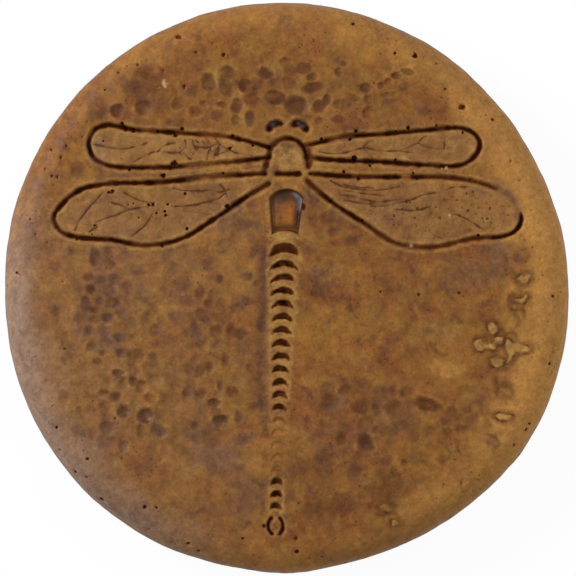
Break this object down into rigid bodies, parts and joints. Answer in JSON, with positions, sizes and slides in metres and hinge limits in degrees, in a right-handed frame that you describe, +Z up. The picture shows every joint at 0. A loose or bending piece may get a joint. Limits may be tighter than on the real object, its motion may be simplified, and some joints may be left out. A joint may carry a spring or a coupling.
{
  "type": "garden stepping stone",
  "caption": "Round cast concrete stepping stone with a rounded shoulder and a dragonfly pressed into its tread, to be laid flat in a garden path.",
  "frame": {"origin": "middle of the flat bed that the stone rests on", "axes": "+Z up from the bed to the tread, +Y towards the dragonfly's head, +X towards its right wing in plan"},
  "size_m": [0.3048, 0.3048, 0.044],
  "materials": {
    "stained_concrete": "cast concrete, brown acid stain under a satin sealer"
  },
  "bodies": {
    "root": {"stepping_stone": "stained_concrete"}
  },
  "joints": []
}
